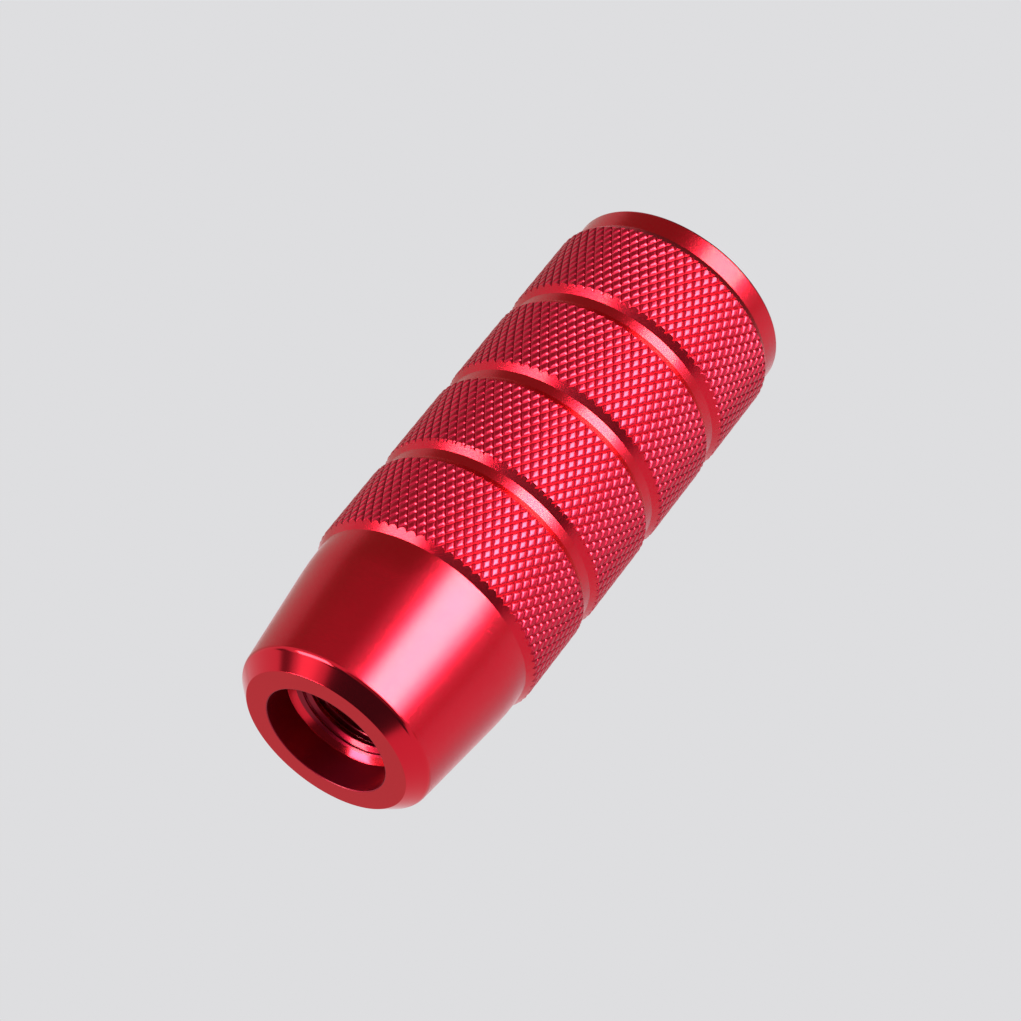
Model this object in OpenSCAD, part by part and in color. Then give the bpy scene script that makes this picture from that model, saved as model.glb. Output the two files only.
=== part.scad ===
// Gear shift knob: one turned, knurled and drilled bar.
// Millimetres. The threaded end stands on z = 0 and the axis is +Z, towards the head.

/* [Threaded end] */
// Diameter of the flat ring face at the threaded end
end_face_d = 25.3; // [22:0.1:28]
// Size of the 45 degree chamfer round the threaded end
end_chamfer = 2.2; // [0.5:0.1:3]
// Length from the threaded end to the first knurled band
lower_l = 23; // [18:0.5:40]
// Length of the straight neck below the first band
neck_l = 3.3; // [2.5:0.1:6]
// Radius of the blend between the taper and the neck
neck_blend_r = 39; // [10:1:45]

/* [Knurled bands] */
// Number of knurled bands
band_count = 4; // [1:1:4]
// Diameter over the knurl
band_d = 35; // [28:0.5:45]
// Length of one band, with its sloping ends
band_l = 14.75; // [8:0.25:25]
// Angle between the sloping end of a band and the axis
band_end_angle = 30; // [25:1:50]
// Width of the floor of the groove between two bands
groove_w = 1.5; // [0.5:0.1:5]
// Depth of the grooves and of the neck, below the top of the knurl
groove_depth = 0.75; // [0.6:0.05:2]

/* [Knurl] */
// Number of diamonds round a band
knurl_count = 64; // [24:1:72]
// Number of half diamonds along a band
knurl_rows = 10; // [4:1:10]
// Height of the diamonds
knurl_depth = 0.38; // [0.2:0.02:0.5]

/* [Head] */
// Diameter of the plain rim at the head
rim_d = 33.4; // [25:0.1:34]
// Length of the rim, from the last band to the head face
rim_l = 3.5; // [1.5:0.1:10]
// Radius of the edge of the head face
rim_round = 0.5; // [0.1:0.1:1]

/* [Threaded hole] */
// Diameter of the plain counterbore at the mouth
counterbore_d = 18.7; // [17:0.1:20]
// Depth of the counterbore
counterbore_depth = 4.75; // [1:0.25:12]
// Diameter of the tapped hole at the crests of its thread, for M16 x 1.5
thread_bore_d = 14.38; // [8:0.01:16]
// Depth of the full-width hole, from the threaded end
hole_depth = 30; // [16:0.5:60]
// Angle at the tip of the drill, also the shoulder's under the counterbore
drill_angle = 118; // [90:1:140]

/* [Hidden] */
$fn = 144;
past = 1; // how far a cutting shape runs past the face that it cuts
arc_steps = 5;
band_r = band_d / 2;
floor_r = band_r - groove_depth;
end_face_r = end_face_d / 2;
bands_l = band_count * band_l + (band_count - 1) * groove_w;
overall_l = lower_l + bands_l + rim_l;
taper_foot = [end_face_r + end_chamfer, end_chamfer];
// The bar under the diamonds lies a little below their valleys
bar_r = band_r - knurl_depth - 0.07;
// Where the sloping end of a band comes down to the bar
knurl_inset = (bar_r - floor_r) / tan(band_end_angle);
knurl_l = band_l - 2 * knurl_inset;

// Points on an arc about a centre, [radius, height], between two angles
function arc(centre, r, from, to) =
    [for (i = [0:arc_steps]) let (a = from + (to - from) * i / arc_steps) centre + r * [cos(a), sin(a)]];

// The taper meets the neck in an arc that is tangent to both
function neck_blend() =
    let (corner = [floor_r, lower_l - neck_l],
         slope = atan2(corner.x - taper_foot.x, corner.y - taper_foot.y),
         centre = [floor_r - neck_blend_r, corner.y + neck_blend_r * tan(slope / 2)])
    arc(centre, neck_blend_r, -slope, 0);

// One band in the outline: sloping ends up to past the knurl
function band_outline(z) =
    let (rise = groove_depth + past, run = rise / tan(band_end_angle))
    [[floor_r, z], [floor_r + rise, z + run], [floor_r + rise, z + band_l - run], [floor_r, z + band_l]];

// Everything that the lathe leaves, as radius and height
function turned_outline() = concat(
    [[0, 0], [end_face_r, 0], taper_foot],
    neck_blend(),
    [for (i = [0:band_count - 1], p = band_outline(lower_l + i * (band_l + groove_w))) p],
    [[rim_d / 2, lower_l + bands_l]],
    arc([rim_d / 2 - rim_round, overall_l - rim_round], rim_round, 0, 90),
    [[0, overall_l]]);

// A length of knurl: in each row the tips and the valley crossings alternate, and the next row is shifted by one
module knurl() {
    columns = 2 * knurl_count;
    rows_end = (knurl_rows + 1) * columns;
    function at(row, col) = row * columns + (col % columns);
    function is_tip(row, col) = (row + col) % 2 == 0;
    grid = [for (row = [0:knurl_rows], col = [0:columns - 1])
        let (r = is_tip(row, col) ? band_r : band_r - knurl_depth, a = 360 * col / columns)
        [r * cos(a), r * sin(a), row * knurl_l / knurl_rows]];
    skin = [for (row = [0:knurl_rows - 1], col = [0:columns - 1])
        let (a = at(row, col), b = at(row, col + 1), c = at(row + 1, col + 1), d = at(row + 1, col))
        each is_tip(row, col) ? [[a, d, b], [b, d, c]] : [[a, c, b], [a, d, c]]];
    ends = [for (col = [0:columns - 1]) each [
        [rows_end, at(0, col), at(0, col + 1)],
        [rows_end + 1, at(knurl_rows, col + 1), at(knurl_rows, col)]]];
    polyhedron(concat(grid, [[0, 0, 0], [0, 0, knurl_l]]), concat(skin, ends));
}

module knurled_bar() {
    cylinder(h = overall_l + past, r = bar_r);
    for (i = [0:band_count - 1])
        translate([0, 0, lower_l + i * (band_l + groove_w) + knurl_inset]) knurl();
}

// Counterbore, conical shoulder, tapped hole and drill point, as one cut
module threaded_hole() {
    mouth_r = counterbore_d / 2;
    bore_r = thread_bore_d / 2;
    cone = 1 / tan(drill_angle / 2);
    rotate_extrude() polygon([
        [0, -past], [mouth_r, -past], [mouth_r, counterbore_depth],
        [bore_r, counterbore_depth + (mouth_r - bore_r) * cone],
        [bore_r, hole_depth], [0, hole_depth + bore_r * cone]]);
}

module knob() color([0.72, 0.08, 0.15]) difference() {
    intersection() {
        knurled_bar();
        rotate_extrude() polygon(turned_outline());
    }
    threaded_hole();
}

knob();
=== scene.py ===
import math
import bpy
import numpy as np
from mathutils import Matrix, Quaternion, Vector


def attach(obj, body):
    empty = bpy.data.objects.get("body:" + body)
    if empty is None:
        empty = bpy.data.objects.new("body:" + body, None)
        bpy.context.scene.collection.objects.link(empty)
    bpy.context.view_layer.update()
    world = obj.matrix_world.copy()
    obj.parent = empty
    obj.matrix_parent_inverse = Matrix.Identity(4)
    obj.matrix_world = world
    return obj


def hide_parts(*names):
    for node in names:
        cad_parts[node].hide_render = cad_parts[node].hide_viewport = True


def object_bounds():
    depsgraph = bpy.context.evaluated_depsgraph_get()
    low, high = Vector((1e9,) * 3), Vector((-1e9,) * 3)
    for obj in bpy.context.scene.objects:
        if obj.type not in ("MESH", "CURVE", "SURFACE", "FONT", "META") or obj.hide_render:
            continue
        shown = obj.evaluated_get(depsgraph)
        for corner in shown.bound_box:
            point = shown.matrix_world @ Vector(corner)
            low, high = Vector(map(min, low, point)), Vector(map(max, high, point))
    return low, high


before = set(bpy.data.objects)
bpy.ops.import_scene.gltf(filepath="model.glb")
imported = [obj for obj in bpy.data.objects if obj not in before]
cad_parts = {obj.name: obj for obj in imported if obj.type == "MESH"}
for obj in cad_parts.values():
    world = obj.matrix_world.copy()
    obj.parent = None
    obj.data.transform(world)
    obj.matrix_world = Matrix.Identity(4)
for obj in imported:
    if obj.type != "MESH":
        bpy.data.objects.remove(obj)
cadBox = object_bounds()
mm = 0.001
print("frame loaded:", ", ".join(sorted(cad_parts)))

# The two sizes that everything hangs on come from the frame.
gripRadius = (cadBox[1][0] - cadBox[0][0]) / 2 / mm
wholeLength = (cadBox[1][2] - cadBox[0][2]) / mm


# Shader building

class Wire:
    # A socket that can be added, taken away and multiplied, each of which adds a Math node.
    def __init__(self, graph, socket):
        self.graph = graph
        self.socket = socket

    def work(self, operation, first, second):
        return self.graph.add("ShaderNodeMath", {"operation": operation}, {0: first, 1: second})

    def __add__(self, other):
        return self.work("ADD", self, other)

    def __radd__(self, other):
        return self.work("ADD", other, self)

    def __sub__(self, other):
        return self.work("SUBTRACT", self, other)

    def __rsub__(self, other):
        return self.work("SUBTRACT", other, self)

    def __mul__(self, other):
        return self.work("MULTIPLY", self, other)

    def __rmul__(self, other):
        return self.work("MULTIPLY", other, self)


class Graph:
    # The nodes of one material, or of the world.
    def __init__(self, owner):
        owner.use_nodes = True
        self.tree = owner.node_tree
        self.tree.nodes.clear()

    def add(self, kind, settings=None, sockets=None, out=0):
        # Settings come first, because some of them change the sockets.
        node = self.tree.nodes.new(kind)
        for key, value in (settings or {}).items():
            setattr(node, key, value)
        for key, value in (sockets or {}).items():
            if isinstance(value, Wire):
                self.tree.links.new(value.socket, node.inputs[key])
            else:
                node.inputs[key].default_value = value
        return Wire(self, node.outputs[out]) if node.outputs else node

    def part(self, vector, axis):
        return self.add("ShaderNodeSeparateXYZ", {}, {0: vector}, out=axis)

    def larger(self, first, second):
        return self.add("ShaderNodeMath", {"operation": "MAXIMUM"}, {0: first, 1: second})

    def ramp(self, value, start, end):
        # 0 up to the start and 1 past the end, with a soft rise between them.
        return self.add("ShaderNodeMapRange", {"interpolation_type": "SMOOTHSTEP"}, {
            "Value": value, "From Min": start, "From Max": end})

    def mixColours(self, factor, first, second, blend="MIX"):
        # The colours of a Mix node are its sockets 6 and 7, and what they give is its output 2.
        return self.add("ShaderNodeMix", {"data_type": "RGBA", "blend_type": blend}, {
            "Factor": factor, 6: opaque(first), 7: opaque(second)}, out=2)


def opaque(colour):
    return colour if isinstance(colour, Wire) else (*colour, 1.0)


# Finishes

anodising = {
    "fadeSize": 9.0,                # mm across one patch of slightly deeper dye
    "fadeDetail": 3.0,
    "fadeRoughness": 0.55,
    "faded": 0.92,                  # how much of the colour such a patch keeps
    "polish": 0.03,                 # how much the roughness changes from patch to patch
    "grainDetail": 2.0,
    "grainRoughness": 0.6,
    "edge": (1.0, 0.72, 0.74),      # the dye still tints a glancing reflection
    "coat": 0.50,                   # the clear oxide layer
    "coatIndex": 1.42,
}
# Each finish has its colour, its roughness and that of the oxide over it.
# The size and the height of its grain are in mm.
blasted = {
    "colour": (0.79, 0.0042, 0.0260), "roughness": 0.18, "oxide": 0.20,
    "grain": 0.16, "height": 0.028,
}
turned = {
    "colour": (0.79, 0.0042, 0.0240), "roughness": 0.13, "oxide": 0.13,
    "grain": 0.30, "height": 0.0004,
}
# Painted shade: the bored wall of the hole has a far darker red than the outside, standing in for the shade
# inside the hole.
bored = {
    "colour": (0.33, 0.0020, 0.0200), "roughness": 0.45, "oxide": 0.30,
    "grain": 0.30, "height": 0.0004,
}
# Painted shade: the cut thread deep in the hole has a far darker red than the outside, standing in for the
# shade there.
cutShaded = {
    "colour": (0.34, 0.0040, 0.0220), "roughness": 0.34, "oxide": 0.14,
    "grain": 0.12, "height": 0.0010,
}
rolled = {
    "colour": (0.68, 0.0042, 0.0400), "roughness": 0.33, "oxide": 0.25,
    "grain": 0.14, "height": 0.003,
    "valley": 0.80,                 # painted shade: how much of the colour is left at the bottom of the knurl's valleys
}


def paintValleyShade(graph, place, baseColour, shade, depth):
    # Painted shade: the colour darkens towards the bottom of the knurl's valleys, where shade falls.
    across = graph.part(place, "X")
    along = graph.part(place, "Y")
    radius = graph.add("ShaderNodeMath", {"operation": "SQRT"}, {0: across * across + along * along})
    sunk = (gripRadius * mm - radius) * (1 / (depth * mm))
    shadedColour = graph.mixColours(1.0, baseColour, (shade, shade, shade), blend="MULTIPLY")
    return graph.mixColours(sunk, baseColour, shadedColour)


def anodisedMetal(name, finish, valleyDepth=None):
    material = bpy.data.materials.new(name)
    graph = Graph(material)
    place = graph.add("ShaderNodeTexCoord", out="Object")
    patches = graph.add("ShaderNodeTexNoise", {}, {
        "Vector": place, "Scale": 1 / (anodising["fadeSize"] * mm),
        "Detail": anodising["fadeDetail"], "Roughness": anodising["fadeRoughness"]})
    deep = [part * anodising["faded"] for part in finish["colour"]]
    baseColour = graph.mixColours(patches, deep, finish["colour"])
    # On the knurl, painted shade darkens the colour in its valleys.
    if valleyDepth:
        baseColour = paintValleyShade(graph, place, baseColour, finish["valley"], valleyDepth)
    grain = graph.add("ShaderNodeTexNoise", {}, {
        "Vector": place, "Scale": 1 / (finish["grain"] * mm),
        "Detail": anodising["grainDetail"], "Roughness": anodising["grainRoughness"]})
    bump = graph.add("ShaderNodeBump", {}, {
        "Strength": 1.0, "Distance": finish["height"] * mm, "Height": grain})
    surface = graph.add("ShaderNodeBsdfPrincipled", {}, {
        "Base Color": baseColour,
        "Metallic": 1.0,
        "Specular Tint": opaque(anodising["edge"]),
        "Roughness": finish["roughness"] + (patches - 0.5) * anodising["polish"],
        "Coat Weight": anodising["coat"],
        "Coat Roughness": finish["oxide"],
        "Coat IOR": anodising["coatIndex"],
        "Normal": bump,
    })
    graph.add("ShaderNodeOutputMaterial", {}, {"Surface": surface})
    return material


blastedMetal = anodisedMetal("blasted_red", blasted)
bodyMetals = {
    "blasted": blastedMetal,
    "turned": anodisedMetal("turned_red", turned),
    "thread": anodisedMetal("thread_red_shaded", cutShaded),
    "bored": anodisedMetal("bored_red_shaded", bored),
}
print("finishes of the body made")


# Meshes

def makePiece(name, points, faces, materials):
    mesh = bpy.data.meshes.new(name)
    mesh.from_pydata(points, [], faces)
    for material in materials:
        mesh.materials.append(material)
    mesh.update()
    piece = bpy.data.objects.new(name, mesh)
    bpy.context.collection.objects.link(piece)
    return piece


class Strip:
    # What lies between two rings of a turned mesh: its finish, and the normal at either ring.
    def __init__(self, finish, start=None, end=None):
        self.finish = finish
        self.start = start
        self.end = end


def isPoint(ring):
    return np.isscalar(ring[0]) and ring[0] == 0


def ringPoints(rings, cosines, sines):
    # A ring is its radius, or one radius for each column, and its height. A ring of radius 0 is one point.
    points = []
    firsts = []
    for ring in rings:
        radius, height = ring
        firsts.append(len(points))
        if isPoint(ring):
            points.append((0.0, 0.0, height))
        else:
            points.extend(zip(radius * cosines, radius * sines, [height] * len(cosines)))
    return points, firsts


def turnedMesh(name, rings, strips, columns, metals):
    angles = np.arange(columns) * 2 * np.pi / columns
    cosines = np.cos(angles)
    sines = np.sin(angles)
    points, firsts = ringPoints(rings, cosines, sines)
    slots = list(metals)
    faces = []
    finishes = []
    normals = []

    def bent(normal, column):
        if normal is None:
            return (0.0, 0.0, 0.0)   # Blender works it out
        return (normal[0] * cosines[column], normal[0] * sines[column], normal[1])

    def cornersOn(index, normal, column, after):
        if isPoint(rings[index]):
            return [(firsts[index], bent(normal, column))]
        return [(firsts[index] + place, bent(normal, place)) for place in (column, after)]

    for index, strip in enumerate(strips):
        for column in range(columns):
            after = (column + 1) % columns
            corners = cornersOn(index, strip.start, column, after)
            corners += cornersOn(index + 1, strip.end, column, after)[::-1]
            faces.append([corner[0] for corner in corners])
            normals += [corner[1] for corner in corners]
            finishes.append(slots.index(strip.finish))
    piece = makePiece(name, (np.array(points) * mm).tolist(), faces, metals.values())
    mesh = piece.data
    mesh.polygons.foreach_set("material_index", finishes)
    mesh.polygons.foreach_set("use_smooth", [True] * len(faces))
    mesh.normals_split_custom_set(normals)
    mesh.update()
    return piece


edgeFacet = 8   # degrees that one facet of a rounded edge turns


def normalOf(direction):
    return (direction[1], -direction[0])


def turnedBy(direction, angle):
    return np.array([
        direction[0] * math.cos(angle) - direction[1] * math.sin(angle),
        direction[0] * math.sin(angle) + direction[1] * math.cos(angle)])


def roundedOutline(corners):
    # Corners are (radius, height, edge radius, finish of the line that leads there). Gives rings and strips.
    points = [np.array(corner[:2], float) for corner in corners]
    rings = [tuple(points[0])]
    strips = []
    for index in range(1, len(corners)):
        incoming = points[index] - points[index - 1]
        incoming = incoming / np.linalg.norm(incoming)
        edgeRadius = corners[index][2]
        finish = corners[index][3]
        strips.append(Strip(finish, normalOf(incoming), normalOf(incoming)))
        if index == len(corners) - 1 or edgeRadius == 0:
            rings.append(tuple(points[index]))
            continue
        outgoing = points[index + 1] - points[index]
        outgoing = outgoing / np.linalg.norm(outgoing)
        turn = math.atan2(incoming[0] * outgoing[1] - incoming[1] * outgoing[0], float(incoming @ outgoing))
        outward = -1 if turn > 0 else 1
        start = points[index] - incoming * edgeRadius * math.tan(abs(turn) / 2)
        rings.append(tuple(start))
        centre = start + np.array(normalOf(incoming)) * outward * edgeRadius
        steps = max(2, math.ceil(abs(math.degrees(turn)) / edgeFacet))
        last = incoming
        for step in range(1, steps + 1):
            heading = turnedBy(incoming, turn * step / steps)
            rings.append(tuple(centre - np.array(normalOf(heading)) * outward * edgeRadius))
            strips.append(Strip(finish, normalOf(last), normalOf(heading)))
            last = heading
    return rings, strips


# The turned body, with its threaded hole

body = {                     # mm and degrees
    "columns": 288,
    "endFace": 12.65,        # radius of the flat ring at the threaded end
    "endEdge": 0.10,         # each edge is the radius of its rounding
    "chamfer": 2.2,
    "chamferEdge": 1.2,
    "neck": 16.75,           # radius of the neck and of the floors between the bands
    "neckBlend": 39.0,
    "taperEnd": 19.7,        # height at which the taper would meet the neck
    "rim": 16.7,
    "rimLength": 3.5,
    "rimEdge": 0.5,
    "rimStep": 0.1,          # length of the step from the neck to the rim
    "rimHidden": 0.3,        # how far under the last band that step starts
    "counterbore": 9.35,
    "counterboreDepth": 4.75,
    "counterboreEdge": 0.1,
    "mouthEdge": 0.15,
    "shoulderAngle": 59.0,   # from the axis, as the drill's tip
}
thread = {
    "crest": 7.19,
    "root": 8.0,
    "mouth": 8.35,           # radius at which the smooth shoulder ends
    "pitch": 1.5,
    "flat": 0.125,           # half of a flat crest, as a share of the pitch
    "flank": 30.0,           # degrees from square to the axis
    "start": 0.35,           # turns by which the first crest is ahead
    "fineDepth": 4.5,        # how far in the rows lie close together
    "fineRow": 0.06,
    "row": 0.15,
    "depth": 28.0,
    "holeDepth": 30.0,
}
coneSlope = math.tan(math.radians(body["shoulderAngle"]))


def threadRadius(angles, height):
    # Crests and roots are flat, and the shoulder's cone cuts through the first turn.
    turns = height / thread["pitch"] - angles / (2 * np.pi) + thread["start"]
    fromCrest = np.abs(turns - np.floor(turns) - 0.5) * thread["pitch"]
    flank = (fromCrest - thread["pitch"] * thread["flat"]) / math.tan(math.radians(thread["flank"]))
    groove = thread["crest"] + np.clip(flank, 0, thread["root"] - thread["crest"])
    cone = body["counterbore"] - (height - body["counterboreDepth"]) * coneSlope
    return np.maximum(groove, cone)


def holeOutline(top):
    # From the tip of the drilled hole to the end of the thread, which is at the height named top.
    tipDepth = thread["holeDepth"] + thread["crest"] / coneSlope
    tipNormal = (-math.cos(math.atan(coneSlope)), -math.sin(math.atan(coneSlope)))
    rings = [(0, tipDepth), (thread["crest"], thread["holeDepth"]), (thread["crest"], thread["depth"])]
    strips = [Strip("thread", tipNormal, tipNormal), Strip("thread", (-1, 0), (-1, 0))]
    angles = np.arange(body["columns"]) * 2 * np.pi / body["columns"]
    fineEnd = top + thread["fineDepth"]
    coarseRows = math.ceil((thread["depth"] - fineEnd) / thread["row"])
    fineRows = math.ceil(thread["fineDepth"] / thread["fineRow"])
    heights = [*np.linspace(thread["depth"], fineEnd, coarseRows + 1)[1:]]
    heights += [*np.linspace(fineEnd, top, fineRows + 1)[1:]]
    for height in heights:
        rings.append((threadRadius(angles, height), height))
        strips.append(Strip("thread"))
    return rings, strips


def makeBody():
    # The outline runs from the tip of the hole, out of the mouth and up the outside to the middle of the head.
    top = body["counterboreDepth"] + (body["counterbore"] - thread["mouth"]) / coneSlope
    stepLow = wholeLength - body["rimLength"] - body["rimHidden"]
    rings, strips = holeOutline(top)
    outerRings, outerStrips = roundedOutline([
        (thread["mouth"], top, 0, "thread"),
        (body["counterbore"], body["counterboreDepth"], body["counterboreEdge"], "turned"),
        (body["counterbore"], 0, body["mouthEdge"], "bored"),
        (body["endFace"], 0, body["endEdge"], "turned"),
        (body["endFace"] + body["chamfer"], body["chamfer"], body["chamferEdge"], "turned"),
        (body["neck"], body["taperEnd"], body["neckBlend"], "blasted"),
        (body["neck"], stepLow, 0, "blasted"),
        (body["rim"], stepLow + body["rimStep"], 0, "blasted"),
        (body["rim"], wholeLength, body["rimEdge"], "blasted"),
        (0, wholeLength, 0, "blasted"),
    ])
    return turnedMesh(
        "turned_body", rings + outerRings[1:], strips + outerStrips, body["columns"], bodyMetals)


turnedBody = makeBody()
print("body turned and threaded:", len(turnedBody.data.polygons), "faces")


# The knurled bands

knurl = {                    # mm and degrees
    "bands": 4,
    "firstBand": 23.0,       # height at which the first band starts
    "bandLength": 14.75,
    "groove": 1.5,           # floor between two bands
    "endAngle": 30.0,        # of a band's sloping ends, from the axis
    "count": 72,             # diamonds round a band
    "period": 2.389,         # along the axis, from one diamond to the next in its column
    "depth": 0.27,
    "shape": (0.0, 0.47, 0.77, 0.93, 0.985, 1.0, 1.0),   # heights from a valley to a diamond's middle
    "squareness": 20.0,      # high for diamonds with four flat sides, low for round pillows
    "steps": 12,             # mesh steps across one diamond
    "turn": 0.30,            # at height 0
    "lean": -0.030,          # degrees for each mm of height
    "shift": 0.07,
    "inside": 16.2,          # radius of the hidden inner wall
    "spare": 0.3,            # how much longer the sleeve is at either end than its band
    "sharpAngle": 35.0,
}
envelope = {                 # what the lathe leaves of a sleeve
    "past": 0.5,             # how far it is open past the top of the knurl
    "under": 0.4,            # how far the sloping ends go on under the neck
    "within": 0.6,           # how far it is open inside the sleeve's inner wall
    "facets": 8,             # for each diamond
}
endMetal = 1                 # which of a band's two metals is on its sloping ends
knurlStep = knurl["period"] / knurl["steps"]
knurlColumns = knurl["count"] * knurl["steps"]
# The knurl's metal carries painted shade in its valleys.
bandMetals = [anodisedMetal("knurl_red", rolled, knurl["depth"]), blastedMetal]


def knurlRadius(rows, columns):
    # Two families of valleys cross, and the diamonds between them are flat in the middle.
    row = rows[:, None]
    column = columns[None, :]

    def fromMiddle(steps):
        half = knurl["steps"] / 2
        return np.abs(np.mod(steps, knurl["steps"]) / half - 1)

    power = knurl["squareness"]
    away = (fromMiddle(column + row) ** power + fromMiddle(column - row) ** power) ** (1 / power)
    shape = knurl["shape"]
    height = np.interp(1 - np.minimum(away, 1), np.linspace(0, 1, len(shape)), shape)
    return gripRadius - knurl["depth"] * (1 - height)


def sleevePoints(rows):
    # The knurl outside, row by row, and then the two ends of the inner wall.
    columns = np.arange(knurlColumns)
    radii = knurlRadius(rows, columns)
    heights = (rows * knurlStep + knurl["shift"])[:, None] + np.zeros(knurlColumns)
    angles = columns * 2 * np.pi / knurlColumns + np.radians(knurl["turn"] + knurl["lean"] * heights)
    outer = np.stack([radii * np.cos(angles), radii * np.sin(angles), heights], axis=2)
    inner = outer[[0, -1]] * (knurl["inside"] / radii[[0, -1]])[:, :, None]
    inner[:, :, 2] = heights[[0, -1]]
    return np.concatenate([outer.reshape(-1, 3), inner.reshape(-1, 3)]) * mm


def risingIsNearer(row, column):
    # Is the valley with column + row constant the nearer one to the middle of this square of the mesh?
    steps = knurl["steps"]
    rising = (column + row + 1) % steps
    falling = (column - row) % steps
    return min(rising, steps - rising) <= min(falling, steps - falling)


def sleeveFaces(rows):
    wide = knurlColumns
    innerLow = len(rows) * wide
    innerHigh = innerLow + wide
    topRow = innerLow - wide
    faces = []
    for index, row in enumerate(rows[:-1]):
        for column in range(wide):
            a = index * wide + column
            b = index * wide + (column + 1) % wide
            c = b + wide
            d = a + wide
            # Each square is split along the nearer valley.
            if risingIsNearer(row, column):
                faces += [(a, b, d), (b, c, d)]
            else:
                faces += [(a, b, c), (a, c, d)]
    for column in range(wide):
        after = (column + 1) % wide
        faces.append((innerLow + column, innerLow + after, after, column))
        faces.append((topRow + column, topRow + after, innerHigh + after, innerHigh + column))
        faces.append((innerHigh + column, innerHigh + after, innerLow + after, innerLow + column))
    return faces


def knurledSleeve(name, low, high):
    # A closed ring with the knurl outside, from which a band is cut.
    firstRow = math.ceil((low - knurl["shift"]) / knurlStep)
    lastRow = math.floor((high - knurl["shift"]) / knurlStep)
    rows = np.arange(firstRow, lastRow + 1)
    return makePiece(name, sleevePoints(rows).tolist(), sleeveFaces(rows), bandMetals)


def bandEnvelope(low):
    # A ring with sloping ends. Its facets meet between the columns of the knurl.
    high = low + knurl["bandLength"]
    slope = math.tan(math.radians(knurl["endAngle"]))
    outside = gripRadius + envelope["past"]
    run = (outside - body["neck"]) / slope
    foot = body["neck"] - envelope["under"]
    footRun = envelope["under"] / slope
    inside = knurl["inside"] - envelope["within"]
    outline = [
        (inside, high + footRun), (inside, low - footRun), (foot, low - footRun),
        (outside, low + run), (outside, high - run), (foot, high + footRun)]
    columns = knurl["count"] * envelope["facets"]
    angles = (np.arange(columns) + 0.5) * 2 * np.pi / columns
    points = []
    for radius, height in outline:
        points += [(radius * math.cos(a) * mm, radius * math.sin(a) * mm, height * mm) for a in angles]
    faces = []
    for ring in range(len(outline)):
        near = ring * columns
        far = (ring + 1) % len(outline) * columns
        for column in range(columns):
            after = (column + 1) % columns
            faces.append((near + column, near + after, far + after, far + column))
    ring = makePiece("envelope", points, faces, bandMetals)
    ring.data.polygons.foreach_set("material_index", [endMetal] * len(faces))
    return ring


def sharpen(mesh):
    # The valleys stay sharp, and so does the edge where the lathe cut across the diamonds.
    mesh.polygons.foreach_set("use_smooth", [True] * len(mesh.polygons))
    mesh.set_sharp_from_angle(angle=math.radians(knurl["sharpAngle"]))
    edgeOfCorner = np.empty(len(mesh.loops), int)
    mesh.loops.foreach_get("edge_index", edgeOfCorner)
    cornersOfFace = np.empty(len(mesh.polygons), int)
    mesh.polygons.foreach_get("loop_total", cornersOfFace)
    finishes = np.empty(len(mesh.polygons), int)
    mesh.polygons.foreach_get("material_index", finishes)
    endCorner = np.repeat(finishes == endMetal, cornersOfFace)
    endFaces = np.bincount(edgeOfCorner[endCorner], minlength=len(mesh.edges))
    rolledFaces = np.bincount(edgeOfCorner[~endCorner], minlength=len(mesh.edges))
    sharp = np.empty(len(mesh.edges), bool)
    mesh.attributes["sharp_edge"].data.foreach_get("value", sharp)
    between = (endFaces > 0) & (rolledFaces > 0)
    mesh.attributes["sharp_edge"].data.foreach_set("value", sharp | between)


def makeBand(number):
    low = knurl["firstBand"] + number * (knurl["bandLength"] + knurl["groove"])
    high = low + knurl["bandLength"]
    sleeve = knurledSleeve(f"knurled_band_{number + 1}", low - knurl["spare"], high + knurl["spare"])
    ring = bandEnvelope(low)
    cutter = sleeve.modifiers.new("turn down", "BOOLEAN")
    cutter.operation = "INTERSECT"
    cutter.solver = "MANIFOLD"
    cutter.object = ring
    view = bpy.context.evaluated_depsgraph_get()
    cutMesh = bpy.data.meshes.new_from_object(sleeve.evaluated_get(view))
    sleeve.modifiers.clear()
    sleeve.data = cutMesh
    bpy.data.objects.remove(ring)
    sharpen(cutMesh)
    return sleeve


bands = [makeBand(number) for number in range(knurl["bands"])]
print("bands knurled:", [len(band.data.polygons) for band in bands], "faces")

for piece in [turnedBody, *bands]:
    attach(piece, "root")
    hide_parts("knob")


# Studio

studio = {
    "background": (0.730, 0.730, 0.745),
    "fill": (0.33, 0.66, 0.45),           # what lights the floor all round, as greenish as the softboxes are
    "middle": (0.0, 0.0, 0.045),
    "floorDrop": 0.0004,
    "floorSize": 3.0,
    "floorFade": (0.25, 1.2),             # from and to which distance it fades out
    "floorColour": (0.56, 0.28, 0.415),   # pale and neutral under such bright and greenish light
}
# Directions are seen from the object: azimuth from the camera's side towards +X, elevation towards the head.
lamps = {
    "main_softbox": {
        "azimuth": 15, "elevation": 26, "size": (0.43, 0.52), "distance": 0.7, "glow": 16.0,
        "colour": (0.5, 1.0, 0.60)},
    "lower_softbox": {
        "azimuth": 16.8, "elevation": 16.5, "size": (0.63, 0.40), "distance": 0.72, "glow": 9.5,
        "colour": (0.5, 1.0, 0.80)},
    "side_softbox": {
        "azimuth": -65, "elevation": -29, "size": (0.42, 0.29), "distance": 0.7, "glow": 12.0,
        "colour": (0.6, 1.0, 0.75)},
    "low_softbox": {
        "azimuth": -112, "elevation": -60, "size": (0.20, 0.26), "distance": 0.7, "glow": 15.0,
        "colour": (1.0, 1.0, 1.0)},
}
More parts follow.
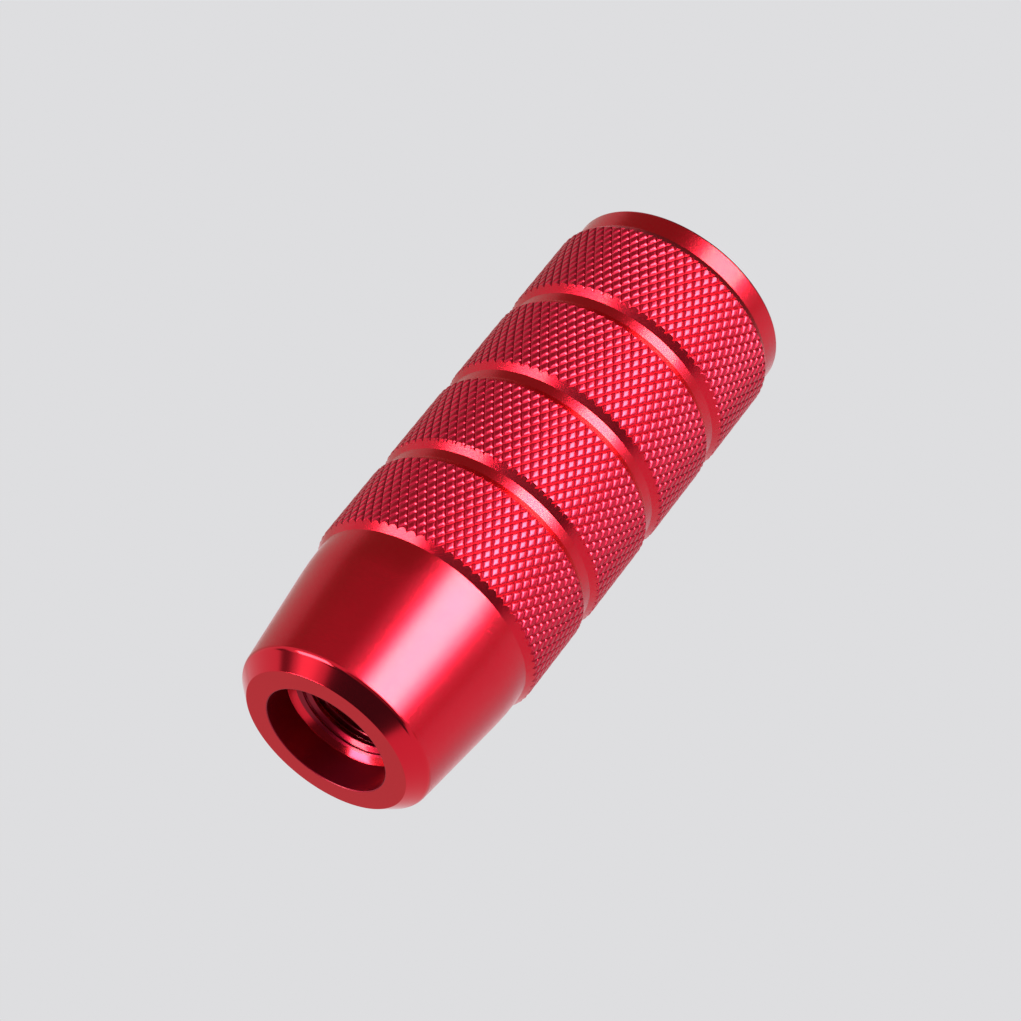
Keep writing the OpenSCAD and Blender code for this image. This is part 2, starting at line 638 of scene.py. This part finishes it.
# Only reflections see the cards. The edge is how far in from its sides a card fades out.
cards = {
    "upper_card": {
        "azimuth": -67.5, "elevation": 32, "size": (1.70, 0.95), "distance": 1.0, "edge": 0.16,
        "shade": (0.25, 0.21, 0.14)},
    "right_edge": {
        "azimuth": 67, "elevation": 22, "size": (0.26, 0.90), "distance": 1.0, "edge": 0.12,
        "shade": (0.50, 0.36, 0.30)},
    "right_card": {
        "azimuth": 134, "elevation": 25, "size": (0.90, 1.00), "distance": 1.05, "edge": 0.30,
        "shade": (0.60, 0.70, 0.73)},
    "rear_card": {
        "azimuth": -130, "elevation": 25, "size": (1.25, 1.0), "distance": 1.05, "edge": 0.16,
        "shade": (0.50, 0.50, 0.45)},
    "left_card": {
        "azimuth": -104, "elevation": -27, "size": (0.32, 0.55), "distance": 1.02, "edge": 0.10,
        "shade": (0.15, 0.15, 0.15)},
    "left_reflector": {
        "azimuth": -78, "elevation": -47, "size": (0.45, 0.26), "distance": 0.98, "edge": 0.10,
        "shade": (1.3, 1.3, 1.3)},
    "front_card": {
        "azimuth": 14, "elevation": -18, "size": (1.75, 0.45), "distance": 1.05, "edge": 0.16,
        "shade": (0.06, 0.06, 0.06)},
    "camera_card": {
        "azimuth": 3.5, "elevation": -51, "size": (2.10, 0.80), "distance": 1.0, "edge": 0.06,
        "shade": (0.05, 0.12, 0.10)},
    "back_card": {
        "azimuth": 180, "elevation": -31, "size": (1.0, 0.8), "distance": 1.0, "edge": 0.16,
        "shade": (0.56, 0.47, 0.45)},
    "foot_card": {
        "azimuth": 0, "elevation": -90, "size": (0.75, 0.75), "distance": 0.95, "edge": 0.16,
        "shade": (0.08, 0.08, 0.08)},
    "head_card": {
        "azimuth": 0, "elevation": 90, "size": (1.5, 1.5), "distance": 1.0, "edge": 0.16,
        "shade": (0.12, 0.12, 0.12)},
}


def aimAtKnob(thing, setting):
    # Places it on a sphere round the middle of the knob, turned to face it.
    azimuth = math.radians(setting["azimuth"])
    elevation = math.radians(setting["elevation"])
    out = Vector((
        math.sin(azimuth) * math.cos(elevation),
        -math.cos(azimuth) * math.cos(elevation),
        math.sin(elevation)))
    thing.location = Vector(studio["middle"]) + out * setting["distance"]
    thing.rotation_mode = "QUATERNION"
    thing.rotation_quaternion = out.to_track_quat("Z", "Y")


def makeLamp(name, setting):
    lamp = bpy.data.lights.new(name, "AREA")
    lamp.shape = "RECTANGLE"
    lamp.size = setting["size"][0]
    lamp.size_y = setting["size"][1]
    lamp.energy = setting["glow"] * math.pi * lamp.size * lamp.size_y   # glow is how bright its face is
    lamp.color = setting["colour"]
    thing = bpy.data.objects.new(name, lamp)
    aimAtKnob(thing, setting)
    thing.visible_camera = False
    bpy.context.collection.objects.link(thing)


def makeSheet(name, wide, tall, height, material):
    # A flat rectangle, of which wide and tall are half the sides.
    points = [(-wide, -tall, height), (wide, -tall, height), (wide, tall, height), (-wide, tall, height)]
    sheet = makePiece(name, points, [(0, 1, 2, 3)], [material])
    sheet.visible_diffuse = False
    sheet.visible_transmission = False
    sheet.visible_shadow = False
    return sheet


def cardPaper(name, setting):
    material = bpy.data.materials.new(name)
    graph = Graph(material)
    glow = graph.add("ShaderNodeEmission", {}, {"Color": opaque(setting["shade"]), "Strength": 1.0})
    clear = graph.add("ShaderNodeBsdfTransparent")
    place = graph.add("ShaderNodeTexCoord", out="Object")
    away = graph.add("ShaderNodeVectorMath", {"operation": "ABSOLUTE"}, {0: place})
    fades = []
    for axis, side in zip("XY", setting["size"]):
        fades.append(graph.ramp(graph.part(away, axis), side / 2 - setting["edge"], side / 2))
    mixed = graph.add("ShaderNodeMixShader", {}, {0: graph.larger(*fades), 1: glow, 2: clear})
    graph.add("ShaderNodeOutputMaterial", {}, {"Surface": mixed})
    return material


def makeCard(name, setting):
    wide, tall = setting["size"]
    card = makeSheet(name, wide / 2, tall / 2, 0, cardPaper(name, setting))
    aimAtKnob(card, setting)
    card.visible_camera = False


def floorPaint():
    # Seen only from above, so that a camera under it looks past it, and clear far from the knob.
    material = bpy.data.materials.new("floor_pale")
    graph = Graph(material)
    paint = graph.add("ShaderNodeBsdfDiffuse", {}, {"Color": opaque(studio["floorColour"])})
    clear = graph.add("ShaderNodeBsdfTransparent")
    under = graph.add("ShaderNodeNewGeometry", out="Backfacing")
    place = graph.add("ShaderNodeTexCoord", out="Object")
    reach = graph.add("ShaderNodeVectorMath", {"operation": "LENGTH"}, {0: place}, out="Value")
    hidden = graph.larger(under, graph.ramp(reach, *studio["floorFade"]))
    mixed = graph.add("ShaderNodeMixShader", {}, {0: hidden, 1: paint, 2: clear})
    graph.add("ShaderNodeOutputMaterial", {}, {"Surface": mixed})
    return material


def makeFloor():
    half = studio["floorSize"] / 2
    floor = makeSheet("floor", half, half, -studio["floorDrop"], floorPaint())
    floor.visible_glossy = False


def makeWorld():
    # The camera and reflections see the background, and only the floor sees the fill.
    world = bpy.data.worlds.new("studio")
    bpy.context.scene.world = world
    graph = Graph(world)
    seen = graph.add("ShaderNodeLightPath", out="Is Camera Ray")
    for ray in ("Is Glossy Ray", "Is Transmission Ray"):
        seen = seen + graph.add("ShaderNodeLightPath", out=ray)
    tone = graph.mixColours(seen, studio["fill"], studio["background"])
    sky = graph.add("ShaderNodeBackground", {}, {"Color": tone, "Strength": 1.0})
    graph.add("ShaderNodeOutputWorld", {}, {"Surface": sky})


makeWorld()
makeFloor()
for name, setting in lamps.items():
    makeLamp(name, setting)
for name, setting in cards.items():
    makeCard(name, setting)
print("studio set:", len(lamps), "softboxes and", len(cards), "cards")


# Camera

camera = {
    "lens": 150.4,
    "sensor": 36.0,
    "place": (0.0, -0.5011, -0.25725),
    "aim": (0.00017, 0.0, 0.04548),
    "roll": 38.52,
}


def makeCamera():
    data = bpy.data.cameras.new("camera")
    data.lens = camera["lens"]
    data.sensor_width = camera["sensor"]
    thing = bpy.data.objects.new("camera", data)
    thing.location = camera["place"]
    ahead = Vector(camera["aim"]) - Vector(camera["place"])
    roll = Quaternion((0, 0, 1), math.radians(camera["roll"]))
    thing.rotation_mode = "QUATERNION"
    thing.rotation_quaternion = ahead.to_track_quat("-Z", "Y") @ roll
    bpy.context.collection.objects.link(thing)
    bpy.context.scene.camera = thing


makeCamera()
bpy.context.scene.view_settings.view_transform = "Standard"
